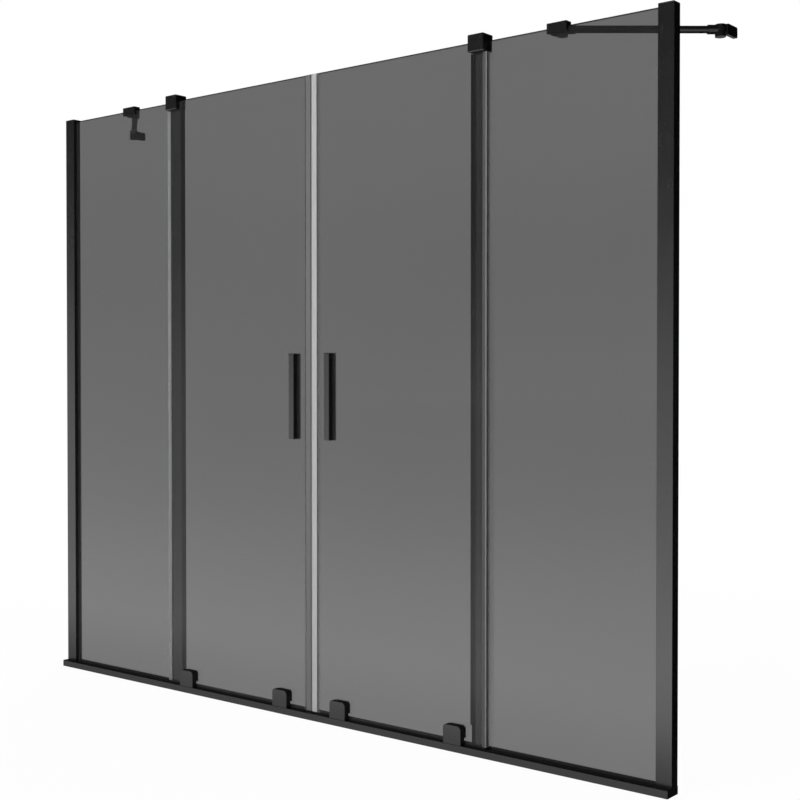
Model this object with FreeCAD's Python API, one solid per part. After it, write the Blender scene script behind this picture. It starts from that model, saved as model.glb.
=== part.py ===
"""Sliding shower screen between two walls, in millimetres.

Two tinted fixed panes stand in a bottom rail and two wall profiles. Two doors roll in front of them
on trolleys and meet in the middle on magnetic seals. The origin is the middle of the rail's underside:
+X runs along the rail to the right, +Y points into the shower and +Z points up.
"""
import FreeCAD, Part
import math
import os

V = FreeCAD.Vector

# Overall size
SPAN = 1840.0
HEIGHT = 1500.0

# Bottom rail
RAIL_DEPTH = 42.0
RAIL_HEIGHT = 16.0
RAIL_WALL = 2.0
RAIL_ROUND = 1.5
TRACK_WIDTH = 8.8
TRACK_DROP = 5.0
CHANNEL_FLOOR = 4.0
TONGUE_LENGTH = 12.0
TONGUE_CLEARANCE = 0.15

# Glass
GLASS_THICKNESS = 6.0
GLASS_CHAMFER = 0.7
DOOR_SETBACK = 12.5
PANE_GAP = 7.0
FIXED_DROP = 5.0
DOOR_DROP = 1.5
DOOR_BOTTOM = 18.5
DOOR_INNER = 15.5
DOOR_EXTRA = 10.0
DOOR_OVERLAP = 40.0

# Wall profiles
PROFILE_WIDTH = 34.0
PROFILE_DEPTH = 24.0
PROFILE_WALL = 1.6
PROFILE_CHAMFER = 0.6
GROOVE_DEPTH = 12.0
WEB_THICKNESS = 2.0
CHANNEL_BACK = 2.0
CHANNEL_FLANGE = 15.0
CHANNEL_CLEARANCE = 0.4
WALL_HOLE_RADIUS = 2.5
WALL_HOLE_OUTER_SPACING = 1200.0
WALL_HOLE_INNER_SPACING = 400.0
CAP_THICKNESS = 2.5
CAP_PLUG = 10.0
CAP_CLEARANCE = 0.3
PROFILE_SCREW_SPACING = 1000.0
PROFILE_SCREW_RADIUS = 1.9
PROFILE_SCREW_HEAD_RADIUS = 3.5
PROFILE_SCREW_HEAD = 1.2

# Glazing gaskets and edge seals of the fixed panes
GASKET_SIDE = 2.0
GASKET_BASE = 2.5
GASKET_SETDOWN = 1.5
EDGE_SEAL_BASE = 2.0
EDGE_SEAL_WALL = 1.2
EDGE_SEAL_LEG = 2.0
EDGE_SEAL_LIP = 1.5
RUNNING_GAP = 0.4

# Guide blocks that hold the doors upright at the top
BLOCK_WIDTH = 40.0
BLOCK_HEIGHT = 36.0
BLOCK_FRONT_WALL = 11.5
BLOCK_REAR_WALL = 5.5
BLOCK_CAP = 12.5
BLOCK_CHAMFER = 1.2
LINER_WALL = 0.7
LINER_GAP = 0.3
LINER_HEADROOM = 1.5
SET_SCREW_RADIUS = 2.5
SET_SCREW_CLEARANCE = 0.1

# Support bars from the fixed panes to the walls
BAR_RADIUS = 7.5
BAR_ANGLE = 39.0
BAR_BORE_CLEARANCE = 0.05
BAR_RUN = 261.0
BAR_DROP = 10.0
CLAMP_WIDTH = 46.0
CLAMP_HEIGHT = 24.0
CLAMP_FRONT_HEIGHT = 20.5
CLAMP_BRIDGE = 9.0
CLAMP_FRONT_PLATE = 5.5
CLAMP_REAR_PLATE = 7.0
CLAMP_SCREW_SPACING = 32.0
CLAMP_SCREW_RISE = 8.0
HUB_RADIUS = 11.0
HUB_ABOVE = 9.8
HUB_BELOW = 15.0
HUB_SINK = 4.5
SLEEVE_RADIUS = 9.5
SLEEVE_LENGTH = 26.0
BAR_END_GAP = 6.0
BRACKET_PLATE = 8.0
BRACKET_WIDTH = 46.0
BRACKET_HEIGHT = 22.0
BRACKET_OFFSET = 25.0
BRACKET_ROUND = 4.0
BRACKET_HOLE_RADIUS = 2.5
BRACKET_HOLE_DEPTH = 6.5

# Door handles
HANDLE_X = 55.5
HANDLE_WIDTH = 16.0
HANDLE_LENGTH = 200.0
HANDLE_DEPTH = 11.0
HANDLE_Z = 750.0
HANDLE_ROUND = 1.5
HANDLE_HOLE_SPACING = 140.0
HANDLE_BOLT_RADIUS = 3.0
HANDLE_BOLT_HEAD_RADIUS = 4.8
HANDLE_BOLT_HEAD = 5.0
HANDLE_BOLT_GRIP = 7.0
HANDLE_BOLT_CLEARANCE = 0.2
HANDLE_GLASS_HOLE_RADIUS = 5.0

# Door seals
SEAL_FIT = 0.1
SEAL_WALL = 1.0
SEAL_LEG = 8.0
SEAL_MEETING_GAP = 0.3
SEAL_BASE = 2.5
MAGNET_WIDTH = 5.0
MAGNET_DEPTH = 6.0
MAGNET_CLEARANCE = 0.1
FIN_REACH = 7.0
FIN_THICKNESS = 1.2
SWEEP_BASE = 1.2
SWEEP_LEG = 1.0
SWEEP_FIN = 1.2
SWEEP_GAP = 0.4

# Trolleys under the doors
TROLLEY_INNER_X = 91.0
TROLLEY_OUTER_INSET = 77.0
TROLLEY_WIDTH = 46.0
TROLLEY_TOP = 57.5
TROLLEY_LIFT = 1.0
TROLLEY_ROUND = 8.0
TROLLEY_OVERHANG = 3.0
TROLLEY_CHAMFER = 0.8
PAD_FRONT = 1.4
PAD_REAR = 1.0
PAD_BOTTOM = 30.0
PAD_MARGIN = 1.5
BACK_PLATE = 2.0
BACK_PLATE_CORNER = 5.0
TROLLEY_SCREW_SPACING = 30.0
TROLLEY_SCREW_DROP = 11.0
TROLLEY_SCREW_RADIUS = 2.0
TROLLEY_SCREW_FLATS = 7.0
TROLLEY_SCREW_HEAD = 1.8
TROLLEY_SCREW_GRIP = 6.0
TROLLEY_SCREW_CLEARANCE = 0.1
TROLLEY_GLASS_HOLE_RADIUS = 3.4

# Rollers
ROLLER_RADIUS = 12.0
ROLLER_WIDTH = 6.0
ROLLER_CHAMFER = 0.6
ROLLER_RIDE = 0.3
ROLLER_SIDE_GAP = 0.9
POCKET_GAP = 2.0
AXLE_RADIUS = 2.0
AXLE_CLEARANCE = 0.05
AXLE_SKIN = 1.0

# Track stops
HANDLE_STOP_GAP = 7.5
STOP_LENGTH = 15.0
STOP_GAP = 0.3
STOP_DROP = 0.4
STOP_CLEARANCE = 0.2

# How far a cutting tool runs past the face it cuts through
CUT_PAST = 1.0

# Places worked out from the sizes above
WALL_X = SPAN / 2
RAIL_FRONT = -RAIL_DEPTH / 2
RAIL_REAR = RAIL_DEPTH / 2
DOOR_FRONT = RAIL_FRONT + DOOR_SETBACK
DOOR_REAR = DOOR_FRONT + GLASS_THICKNESS
FIXED_FRONT = DOOR_REAR + PANE_GAP
FIXED_REAR = FIXED_FRONT + GLASS_THICKNESS
FIXED_MID = (FIXED_FRONT + FIXED_REAR) / 2
FIXED_TOP = HEIGHT - FIXED_DROP
DOOR_TOP = FIXED_TOP - DOOR_DROP
GROOVE_FRONT = FIXED_FRONT - GASKET_SIDE
GROOVE_REAR = FIXED_REAR + GASKET_SIDE
PROFILE_INNER = WALL_X - PROFILE_WIDTH
FIXED_INNER = PROFILE_INNER / 2 + DOOR_EXTRA
DOOR_OUTER = FIXED_INNER + DOOR_OVERLAP
TRAVEL = FIXED_INNER - EDGE_SEAL_BASE - HANDLE_STOP_GAP - HANDLE_X - HANDLE_WIDTH / 2
PROFILE_OUTER = WALL_X - CHANNEL_BACK
PROFILE_FRONT = FIXED_MID - PROFILE_DEPTH / 2
PROFILE_REAR = FIXED_MID + PROFILE_DEPTH / 2
PROFILE_TOP = HEIGHT - CAP_THICKNESS
PROFILE_MID_Z = (RAIL_HEIGHT + PROFILE_TOP) / 2
GROOVE_END = PROFILE_INNER + GROOVE_DEPTH
FIXED_OUTER = GROOVE_END - GASKET_BASE
FIXED_BOTTOM = CHANNEL_FLOOR + GASKET_BASE
TRACK_FRONT = RAIL_FRONT + RAIL_WALL
TRACK_REAR = TRACK_FRONT + TRACK_WIDTH
TRACK_MID = (TRACK_FRONT + TRACK_REAR) / 2
TRACK_FLOOR = RAIL_HEIGHT - TRACK_DROP
BLOCK_TOP = FIXED_TOP + BLOCK_CAP
BLOCK_BOTTOM = BLOCK_TOP - BLOCK_HEIGHT
BLOCK_FRONT = DOOR_FRONT - BLOCK_FRONT_WALL
BLOCK_REAR = FIXED_REAR + BLOCK_REAR_WALL
BLOCK_SLOT_FRONT = DOOR_FRONT - LINER_GAP - LINER_WALL
BLOCK_SLOT_REAR = DOOR_REAR + LINER_GAP + LINER_WALL
LINER_TOP = DOOR_TOP + LINER_HEADROOM + LINER_WALL
CLAMP_X = WALL_X - BAR_RUN
CLAMP_TOP = FIXED_TOP + CLAMP_BRIDGE
CLAMP_BOTTOM = CLAMP_TOP - CLAMP_HEIGHT
CLAMP_FRONT = FIXED_FRONT - CLAMP_FRONT_PLATE
CLAMP_REAR = FIXED_REAR + CLAMP_REAR_PLATE
BAR_Z = CLAMP_TOP - BAR_DROP
BAR_DIRECTION = V(math.cos(math.radians(BAR_ANGLE)), math.sin(math.radians(BAR_ANGLE)), 0)
CLAMP_HUB = V(CLAMP_X, CLAMP_REAR + HUB_RADIUS - HUB_SINK, BAR_Z)
BRACKET_HUB_X = WALL_X - BRACKET_PLATE - HUB_RADIUS + HUB_SINK
HUB_DISTANCE = (BRACKET_HUB_X - CLAMP_X) / BAR_DIRECTION.x
BRACKET_HUB = CLAMP_HUB + BAR_DIRECTION * HUB_DISTANCE
BRACKET_MID_Y = BRACKET_HUB.y + BRACKET_OFFSET
HANDLE_BOTTOM = HANDLE_Z - HANDLE_LENGTH / 2
HANDLE_TOP = HANDLE_Z + HANDLE_LENGTH / 2
TROLLEY_OUTER_X = DOOR_OUTER - TROLLEY_OUTER_INSET
TROLLEY_BOTTOM = RAIL_HEIGHT + TROLLEY_LIFT
TROLLEY_FRONT = RAIL_FRONT - TROLLEY_OVERHANG
TROLLEY_REAR = DOOR_FRONT - PAD_FRONT
TROLLEY_SCREW_Z = TROLLEY_TOP - TROLLEY_SCREW_DROP
BACK_PLATE_FRONT = DOOR_REAR + PAD_REAR
BACK_PLATE_REAR = BACK_PLATE_FRONT + BACK_PLATE
AXLE_Z = TRACK_FLOOR + ROLLER_RIDE + ROLLER_RADIUS
GRIP_FRONT = DOOR_FRONT - SEAL_FIT
GRIP_REAR = DOOR_REAR + SEAL_FIT
SEAL_FRONT = GRIP_FRONT - SEAL_WALL
SEAL_REAR = GRIP_REAR + SEAL_WALL
SWEEP_TOP = DOOR_BOTTOM + SWEEP_LEG


def box(x0, x1, y0, y1, z0, z1):
    """A block between two corners."""
    return Part.makeBox(x1 - x0, y1 - y0, z1 - z0, V(x0, y0, z0))


def prism(points, travel):
    """A closed outline of 3-D points, pushed along a vector."""
    wire = Part.makePolygon(points + [points[0]])
    return Part.Face(wire).extrude(travel)


def along_x(outline, x0, x1):
    """An outline of (y, z) points, extruded along X."""
    return prism([V(x0, y, z) for y, z in outline], V(x1 - x0, 0, 0))


def along_z(outline, z0, z1):
    """An outline of (x, y) points, extruded along Z."""
    return prism([V(x, y, z0) for x, y in outline], V(0, 0, z1 - z0))


def rod(radius, start, end):
    """A round bar between two points."""
    return Part.makeCylinder(radius, (end - start).Length, start, end - start)


def rod_y(radius, x, z, y0, y1):
    """A round bar along Y."""
    return rod(radius, V(x, y0, z), V(x, y1, z))


def picked_edges(solid, pick):
    """The edges that pick accepts, by their end points."""
    edges = []
    for edge in solid.Edges:
        if pick(edge.Vertexes[0].Point, edge.Vertexes[-1].Point):
            edges.append(edge)
    return edges


def rounded(solid, radius, pick):
    return solid.makeFillet(radius, picked_edges(solid, pick))


def bevelled(solid, size, pick):
    return solid.makeChamfer(size, picked_edges(solid, pick))


def hexagon_y(flats, x, z, y0, y1):
    """A hexagonal bar along Y, of a given width across its flats."""
    radius = flats / math.sqrt(3)
    corners = []
    for step in range(6):
        angle = math.radians(60 * step)
        corners.append(V(x + radius * math.cos(angle), y0, z + radius * math.sin(angle)))
    return prism(corners, V(0, y1 - y0, 0))


def same(a, b):
    return abs(a - b) < 1e-6


def lies_along_y(a, b):
    return same(a.x, b.x) and same(a.z, b.z)


def save(name, *solids):
    """Writes one node, a single solid or a group of separate ones."""
    shape = solids[0] if len(solids) == 1 else Part.makeCompound(list(solids))
    for solid in solids:
        if not solid.isValid() or len(solid.Solids) != 1:
            raise ValueError(name + " is not one valid solid")
    shape.exportStep("parts/" + name + ".step")


def mirrored(solid):
    return solid.mirror(V(0, 0, 0), V(1, 0, 0))


def save_pair(name, *solids):
    """Writes the right-hand piece as drawn and its mirror image for the left."""
    save(name + "_right", *solids)
    save(name + "_left", *[mirrored(solid) for solid in solids])


def pane(x0, x1, y0, y1, z0, z1):
    """A sheet of glass with ground arrises."""
    sheet = box(x0, x1, y0, y1, z0, z1)
    return sheet.makeChamfer(GLASS_CHAMFER, sheet.Edges)


# Bottom rail with its running track, hollow chambers and glazing channel


def rail_chambers():
    """The hollow chambers of the rail as (y0, y1, z0, z1)."""
    under_track = (TRACK_FRONT, TRACK_REAR, RAIL_WALL, TRACK_FLOOR - RAIL_WALL)
    middle = (TRACK_REAR + RAIL_WALL, GROOVE_FRONT - RAIL_WALL, RAIL_WALL, RAIL_HEIGHT - RAIL_WALL)
    rear = (GROOVE_REAR + RAIL_WALL, RAIL_REAR - RAIL_WALL, RAIL_WALL, RAIL_HEIGHT - RAIL_WALL)
    return [under_track, middle, rear]


def round_front_top(solid):
    """Rounds the long edge at the top of the rail's front."""
    def at_corner(point):
        return same(point.y, RAIL_FRONT) and same(point.z, RAIL_HEIGHT)
    def on_edge(a, b):
        return at_corner(a) and at_corner(b)
    return rounded(solid, RAIL_ROUND, on_edge)


def bottom_rail():
    outline = [
        (RAIL_FRONT, 0),
        (RAIL_REAR, 0),
        (RAIL_REAR, RAIL_HEIGHT),
        (GROOVE_REAR, RAIL_HEIGHT),
        (GROOVE_REAR, CHANNEL_FLOOR),
        (GROOVE_FRONT, CHANNEL_FLOOR),
        (GROOVE_FRONT, RAIL_HEIGHT),
        (TRACK_REAR, RAIL_HEIGHT),
        (TRACK_REAR, TRACK_FLOOR),
        (TRACK_FRONT, TRACK_FLOOR),
        (TRACK_FRONT, RAIL_HEIGHT),
        (RAIL_FRONT, RAIL_HEIGHT),
    ]
    rail = along_x(outline, -PROFILE_INNER, PROFILE_INNER)
    for y0, y1, z0, z1 in rail_chambers():
        rail = rail.cut(box(-PROFILE_INNER, PROFILE_INNER, y0, y1, z0, z1))
    return round_front_top(rail)


def rail_end():
    """The corner block that closes the rail under a wall profile."""
    block = box(PROFILE_INNER, WALL_X, RAIL_FRONT, RAIL_REAR, 0, RAIL_HEIGHT)
    block = round_front_top(block)
    block = block.cut(box(PROFILE_INNER, GROOVE_END, GROOVE_FRONT, GROOVE_REAR, CHANNEL_FLOOR, RAIL_HEIGHT))
    gap = TONGUE_CLEARANCE
    for y0, y1, z0, z1 in rail_chambers():
        tongue = box(PROFILE_INNER - TONGUE_LENGTH, PROFILE_INNER, y0 + gap, y1 - gap, z0 + gap, z1 - gap)
        block = block.fuse(tongue)
    return block.removeSplitter()


def track_stop():
    """The rubber buffer in the track that the outer roller meets at full travel."""
    top = RAIL_HEIGHT - STOP_DROP
    chord = math.sqrt(ROLLER_RADIUS ** 2 - (AXLE_Z - top) ** 2)
    start = TROLLEY_OUTER_X + TRAVEL + chord + STOP_GAP
    front = TRACK_FRONT + STOP_CLEARANCE
    rear = TRACK_REAR - STOP_CLEARANCE
    return box(start, start + STOP_LENGTH, front, rear, TRACK_FLOOR, top)


# Wall channels, glazing profiles and caps


def wall_hole_heights():
    heights = []
    for spacing in (WALL_HOLE_OUTER_SPACING, WALL_HOLE_INNER_SPACING):
        heights.append(PROFILE_MID_Z - spacing / 2)
        heights.append(PROFILE_MID_Z + spacing / 2)
    return heights


def profile_screw_places():
    x = PROFILE_OUTER - CHANNEL_FLANGE / 2
    half = PROFILE_SCREW_SPACING / 2
    return [(x, PROFILE_MID_Z - half), (x, PROFILE_MID_Z + half)]


def profile_screw_holes(solid):
    """Drills the rear leg of a profile or channel for the locking screws."""
    for x, z in profile_screw_places():
        radius = PROFILE_SCREW_RADIUS + SET_SCREW_CLEARANCE
        solid = solid.cut(rod_y(radius, x, z, FIXED_REAR, PROFILE_REAR + CUT_PAST))
    return solid


def wall_channel():
    """The channel that is screwed to the wall; the glazing profile slides over its flanges."""
    back = box(PROFILE_OUTER, WALL_X, PROFILE_FRONT, PROFILE_REAR, RAIL_HEIGHT, PROFILE_TOP)
    inset = PROFILE_WALL + CHANNEL_CLEARANCE
    start = PROFILE_OUTER - CHANNEL_FLANGE
    front = PROFILE_FRONT + inset
    rear = PROFILE_REAR - inset
    channel = back.fuse(box(start, PROFILE_OUTER, front, front + PROFILE_WALL, RAIL_HEIGHT, PROFILE_TOP))
    channel = channel.fuse(box(start, PROFILE_OUTER, rear - PROFILE_WALL, rear, RAIL_HEIGHT, PROFILE_TOP))
    for z in wall_hole_heights():
        end = V(WALL_X + CUT_PAST, FIXED_MID, z)
        channel = channel.cut(rod(WALL_HOLE_RADIUS, V(start, FIXED_MID, z), end))
    return profile_screw_holes(channel.removeSplitter())


def room_corner(a, b):
    """Whether an edge is one of a wall profile's upright edges on the glass side."""
    return same(a.x, PROFILE_INNER) and same(b.x, PROFILE_INNER) and same(a.y, b.y)


def glazing_profile():
    """The outer profile: a glass groove towards the room and an open back over the wall channel."""
    z0 = RAIL_HEIGHT
    z1 = PROFILE_TOP
    wall = PROFILE_WALL
    profile = box(PROFILE_INNER, PROFILE_OUTER, PROFILE_FRONT, PROFILE_REAR, z0, z1)
    profile = bevelled(profile, PROFILE_CHAMFER, room_corner)
    profile = profile.cut(box(PROFILE_INNER, GROOVE_END, GROOVE_FRONT, GROOVE_REAR, z0, z1))
    start = PROFILE_INNER + wall
    profile = profile.cut(box(start, GROOVE_END, PROFILE_FRONT + wall, GROOVE_FRONT - wall, z0, z1))
    profile = profile.cut(box(start, GROOVE_END, GROOVE_REAR + wall, PROFILE_REAR - wall, z0, z1))
    hollow = GROOVE_END + WEB_THICKNESS
    profile = profile.cut(box(hollow, PROFILE_OUTER, PROFILE_FRONT + wall, PROFILE_REAR - wall, z0, z1))
    return profile_screw_holes(profile)


def profile_cap():
    """The cap on a wall profile, with a plug between the channel's flanges."""
    cap = box(PROFILE_INNER, WALL_X, PROFILE_FRONT, PROFILE_REAR, PROFILE_TOP, HEIGHT)
    def soft_edge(a, b):
        on_top = same(a.z, HEIGHT) and same(b.z, HEIGHT)
        return on_top or room_corner(a, b)
    cap = bevelled(cap, PROFILE_CHAMFER, soft_edge)
    inset = 2 * PROFILE_WALL + CHANNEL_CLEARANCE + CAP_CLEARANCE
    x0 = GROOVE_END + WEB_THICKNESS + CAP_CLEARANCE
    x1 = PROFILE_OUTER - CAP_CLEARANCE
    plug = box(x0, x1, PROFILE_FRONT + inset, PROFILE_REAR - inset, PROFILE_TOP - CAP_PLUG, PROFILE_TOP)
    return cap.fuse(plug).removeSplitter()


def profile_screws():
    """The screws that lock each glazing profile on its wall channel."""
    screws = []
    for x, z in profile_screw_places():
        tip = PROFILE_REAR - 2 * PROFILE_WALL - CHANNEL_CLEARANCE
        shank = rod_y(PROFILE_SCREW_RADIUS, x, z, tip, PROFILE_REAR)
        head = rod_y(PROFILE_SCREW_HEAD_RADIUS, x, z, PROFILE_REAR, PROFILE_REAR + PROFILE_SCREW_HEAD)
        screws.append(shank.fuse(head))
    return screws


# Fixed panes with their gaskets and edge seals


def fixed_glass():
    return pane(FIXED_INNER, FIXED_OUTER, FIXED_FRONT, FIXED_REAR, FIXED_BOTTOM, FIXED_TOP)


def glazing_gasket():
    """One strip folded round the glass: along the rail, then up the wall profile."""
    top = RAIL_HEIGHT - GASKET_SETDOWN
    start = FIXED_INNER + EDGE_SEAL_LEG
    sill = box(start, GROOVE_END, GROOVE_FRONT, GROOVE_REAR, CHANNEL_FLOOR, top)
    jamb_start = PROFILE_INNER + GASKET_SETDOWN
    jamb = box(jamb_start, GROOVE_END, GROOVE_FRONT, GROOVE_REAR, CHANNEL_FLOOR, FIXED_TOP)
    glass = box(FIXED_INNER, FIXED_OUTER, FIXED_FRONT, FIXED_REAR, FIXED_BOTTOM, FIXED_TOP)
    return sill.fuse(jamb).cut(glass).removeSplitter()


def edge_seal():
    """The black strip on the free edge of a fixed pane, with a lip that wipes the door."""
    tip = FIXED_INNER - EDGE_SEAL_BASE
    end = FIXED_INNER + EDGE_SEAL_LEG
    front = FIXED_FRONT - EDGE_SEAL_WALL
    rear = FIXED_REAR + EDGE_SEAL_WALL
    strip = box(tip, end, front, rear, RAIL_HEIGHT, BLOCK_BOTTOM)
    glass = box(FIXED_INNER, end, FIXED_FRONT, FIXED_REAR, RAIL_HEIGHT, BLOCK_BOTTOM)
    lip_front = DOOR_REAR + RUNNING_GAP
    lip_bottom = TROLLEY_TOP + EDGE_SEAL_LEG
    lip = box(tip, tip + EDGE_SEAL_LIP, lip_front, front, lip_bottom, BLOCK_BOTTOM)
    return strip.cut(glass).fuse(lip).removeSplitter()


# Guide blocks


def block_screw(radius, end):
    """The set screw in the middle of a block's rear, or its hole."""
    middle = FIXED_INNER + BLOCK_WIDTH / 2
    return rod_y(radius, middle, (BLOCK_BOTTOM + FIXED_TOP) / 2, FIXED_REAR, end)


def guide_block():
    """A block clamped on the fixed pane's corner; the door's top edge runs in its front slot."""
    end = FIXED_INNER + BLOCK_WIDTH
    block = box(FIXED_INNER, end, BLOCK_FRONT, BLOCK_REAR, BLOCK_BOTTOM, BLOCK_TOP)
    block = block.makeChamfer(BLOCK_CHAMFER, block.Edges)
    x0 = FIXED_INNER - CUT_PAST
    x1 = end + CUT_PAST
    z0 = BLOCK_BOTTOM - CUT_PAST
    block = block.cut(box(x0, x1, BLOCK_SLOT_FRONT, BLOCK_SLOT_REAR, z0, LINER_TOP))
    block = block.cut(box(x0, x1, FIXED_FRONT, FIXED_REAR, z0, FIXED_TOP))
    return block.cut(block_screw(SET_SCREW_RADIUS + SET_SCREW_CLEARANCE, BLOCK_REAR + CUT_PAST))


def guide_liner():
    """The slippery lining of the door slot."""
    end = FIXED_INNER + BLOCK_WIDTH
    bottom = BLOCK_BOTTOM + BLOCK_CHAMFER
    x0 = FIXED_INNER + BLOCK_CHAMFER
    x1 = end - BLOCK_CHAMFER
    liner = box(x0, x1, BLOCK_SLOT_FRONT, BLOCK_SLOT_REAR, bottom, LINER_TOP)
    front = BLOCK_SLOT_FRONT + LINER_WALL
    rear = BLOCK_SLOT_REAR - LINER_WALL
    return liner.cut(box(x0, x1, front, rear, bottom, LINER_TOP - LINER_WALL))


# Support bars with their glass clamps and wall brackets


def hub_with_sleeve(hub, direction):
    """An upright barrel with a sleeve that takes the end of a support bar."""
    barrel = Part.makeCylinder(HUB_RADIUS, HUB_BELOW + HUB_ABOVE, hub - V(0, 0, HUB_BELOW))
    sleeve = rod(SLEEVE_RADIUS, hub, hub + direction * SLEEVE_LENGTH)
    return barrel.fuse(sleeve)


def bar_bore(hub, direction):
    """The blind bore in a sleeve."""
    end = hub + direction * (SLEEVE_LENGTH + CUT_PAST)
    return rod(BAR_RADIUS + BAR_BORE_CLEARANCE, hub + direction * BAR_END_GAP, end)


def clamp_screw_places():
    half = CLAMP_SCREW_SPACING / 2
    z = CLAMP_BOTTOM + CLAMP_SCREW_RISE
    return [(CLAMP_X - half, z), (CLAMP_X + half, z)]


def bar_clamp():
    """A saddle over the fixed pane's top edge: a plain front cheek and a rear one with two round lobes."""
    lobe = CLAMP_WIDTH / 4
    spring = CLAMP_BOTTOM + lobe
    x0 = CLAMP_X - CLAMP_WIDTH / 2
    x1 = CLAMP_X + CLAMP_WIDTH / 2
    y = FIXED_REAR
    left, middle, right = V(x0, y, spring), V(CLAMP_X, y, spring), V(x1, y, spring)
    top_left, top_right = V(x0, y, CLAMP_TOP), V(x1, y, CLAMP_TOP)
    edges = [
        Part.Arc(left, V(CLAMP_X - lobe, y, CLAMP_BOTTOM), middle).toShape(),
        Part.Arc(middle, V(CLAMP_X + lobe, y, CLAMP_BOTTOM), right).toShape(),
        Part.LineSegment(right, top_right).toShape(),
        Part.LineSegment(top_right, top_left).toShape(),
        Part.LineSegment(top_left, left).toShape(),
    ]
    rear_cheek = Part.Face(Part.Wire(edges)).extrude(V(0, CLAMP_REAR - FIXED_REAR, 0))
    bridge = box(x0, x1, CLAMP_FRONT, FIXED_REAR, FIXED_TOP, CLAMP_TOP)
    front_cheek = box(x0, x1, CLAMP_FRONT, FIXED_FRONT, CLAMP_TOP - CLAMP_FRONT_HEIGHT, CLAMP_TOP)
    clamp = rear_cheek.fuse(bridge).fuse(front_cheek).fuse(hub_with_sleeve(CLAMP_HUB, BAR_DIRECTION))
    clamp = clamp.cut(bar_bore(CLAMP_HUB, BAR_DIRECTION))
    for x, z in clamp_screw_places():
        clamp = clamp.cut(rod_y(SET_SCREW_RADIUS + SET_SCREW_CLEARANCE, x, z, FIXED_REAR, CLAMP_REAR))
    return clamp.removeSplitter()


def clamp_screws():
    screws = []
    for x, z in clamp_screw_places():
        screws.append(rod_y(SET_SCREW_RADIUS, x, z, FIXED_REAR, CLAMP_REAR))
    return screws


def support_bar():
    start = CLAMP_HUB + BAR_DIRECTION * BAR_END_GAP
    end = BRACKET_HUB - BAR_DIRECTION * BAR_END_GAP
    return rod(BAR_RADIUS, start, end)


def bar_bracket():
    """The wall end of a support bar: a plate with a tapped back, a barrel at its edge and a sleeve."""
    front = BRACKET_MID_Y - BRACKET_WIDTH / 2
    rear = BRACKET_MID_Y + BRACKET_WIDTH / 2
    rise = BRACKET_HEIGHT / 2
    plate = box(WALL_X - BRACKET_PLATE, WALL_X, front, rear, BAR_Z - rise, BAR_Z + rise)
    def along_x_edge(a, b):
        return same(a.y, b.y) and same(a.z, b.z)
    plate = rounded(plate, BRACKET_ROUND, along_x_edge)
    back = BAR_DIRECTION * -1
    bracket = plate.fuse(hub_with_sleeve(BRACKET_HUB, back))
    bracket = bracket.cut(bar_bore(BRACKET_HUB, back))
    wall = V(WALL_X, BRACKET_MID_Y, BAR_Z)
    hole_end = wall - V(BRACKET_HOLE_DEPTH, 0, 0)
    bracket = bracket.cut(rod(BRACKET_HOLE_RADIUS, hole_end, wall + V(CUT_PAST, 0, 0)))
    return bracket.removeSplitter()


# Doors


def handle_bolt_heights():
    return [HANDLE_Z - HANDLE_HOLE_SPACING / 2, HANDLE_Z + HANDLE_HOLE_SPACING / 2]


def trolley_screw_columns(middle):
    half = TROLLEY_SCREW_SPACING / 2
    return [middle - half, middle + half]


def trolley_screw_places():
    columns = trolley_screw_columns(TROLLEY_INNER_X) + trolley_screw_columns(TROLLEY_OUTER_X)
    return [(x, TROLLEY_SCREW_Z) for x in columns]


def door_glass():
    """The door's pane, drilled for the handle and the trolleys."""
    glass = pane(DOOR_INNER, DOOR_OUTER, DOOR_FRONT, DOOR_REAR, DOOR_BOTTOM, DOOR_TOP)
    front = DOOR_FRONT - CUT_PAST
    rear = DOOR_REAR + CUT_PAST
    for z in handle_bolt_heights():
        glass = glass.cut(rod_y(HANDLE_GLASS_HOLE_RADIUS, HANDLE_X, z, front, rear))
    for x, z in trolley_screw_places():
        glass = glass.cut(rod_y(TROLLEY_GLASS_HOLE_RADIUS, x, z, front, rear))
    return glass


def handle_bar(y0, y1, outer_face):
    """A solid upright bar with soft edges on the side away from the glass."""
    half = HANDLE_WIDTH / 2
    bar = box(HANDLE_X - half, HANDLE_X + half, y0, y1, HANDLE_BOTTOM, HANDLE_TOP)
    def on_outer_face(a, b):
        return same(a.y, outer_face) and same(b.y, outer_face)
    return rounded(bar, HANDLE_ROUND, on_outer_face)


def handle_front():
    front = DOOR_FRONT - HANDLE_DEPTH
    bar = handle_bar(front, DOOR_FRONT, front)
    for z in handle_bolt_heights():
        hole = HANDLE_BOLT_RADIUS + HANDLE_BOLT_CLEARANCE
        bar = bar.cut(rod_y(hole, HANDLE_X, z, DOOR_FRONT - HANDLE_BOLT_GRIP, DOOR_FRONT))
    return bar


def handle_rear():
    rear = DOOR_REAR + HANDLE_DEPTH
    bar = handle_bar(DOOR_REAR, rear, rear)
    for z in handle_bolt_heights():
        hole = HANDLE_BOLT_RADIUS + HANDLE_BOLT_CLEARANCE
        bar = bar.cut(rod_y(hole, HANDLE_X, z, DOOR_REAR, rear))
        recess = HANDLE_BOLT_HEAD_RADIUS + HANDLE_BOLT_CLEARANCE
        bar = bar.cut(rod_y(recess, HANDLE_X, z, rear - HANDLE_BOLT_HEAD, rear))
    return bar


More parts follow.
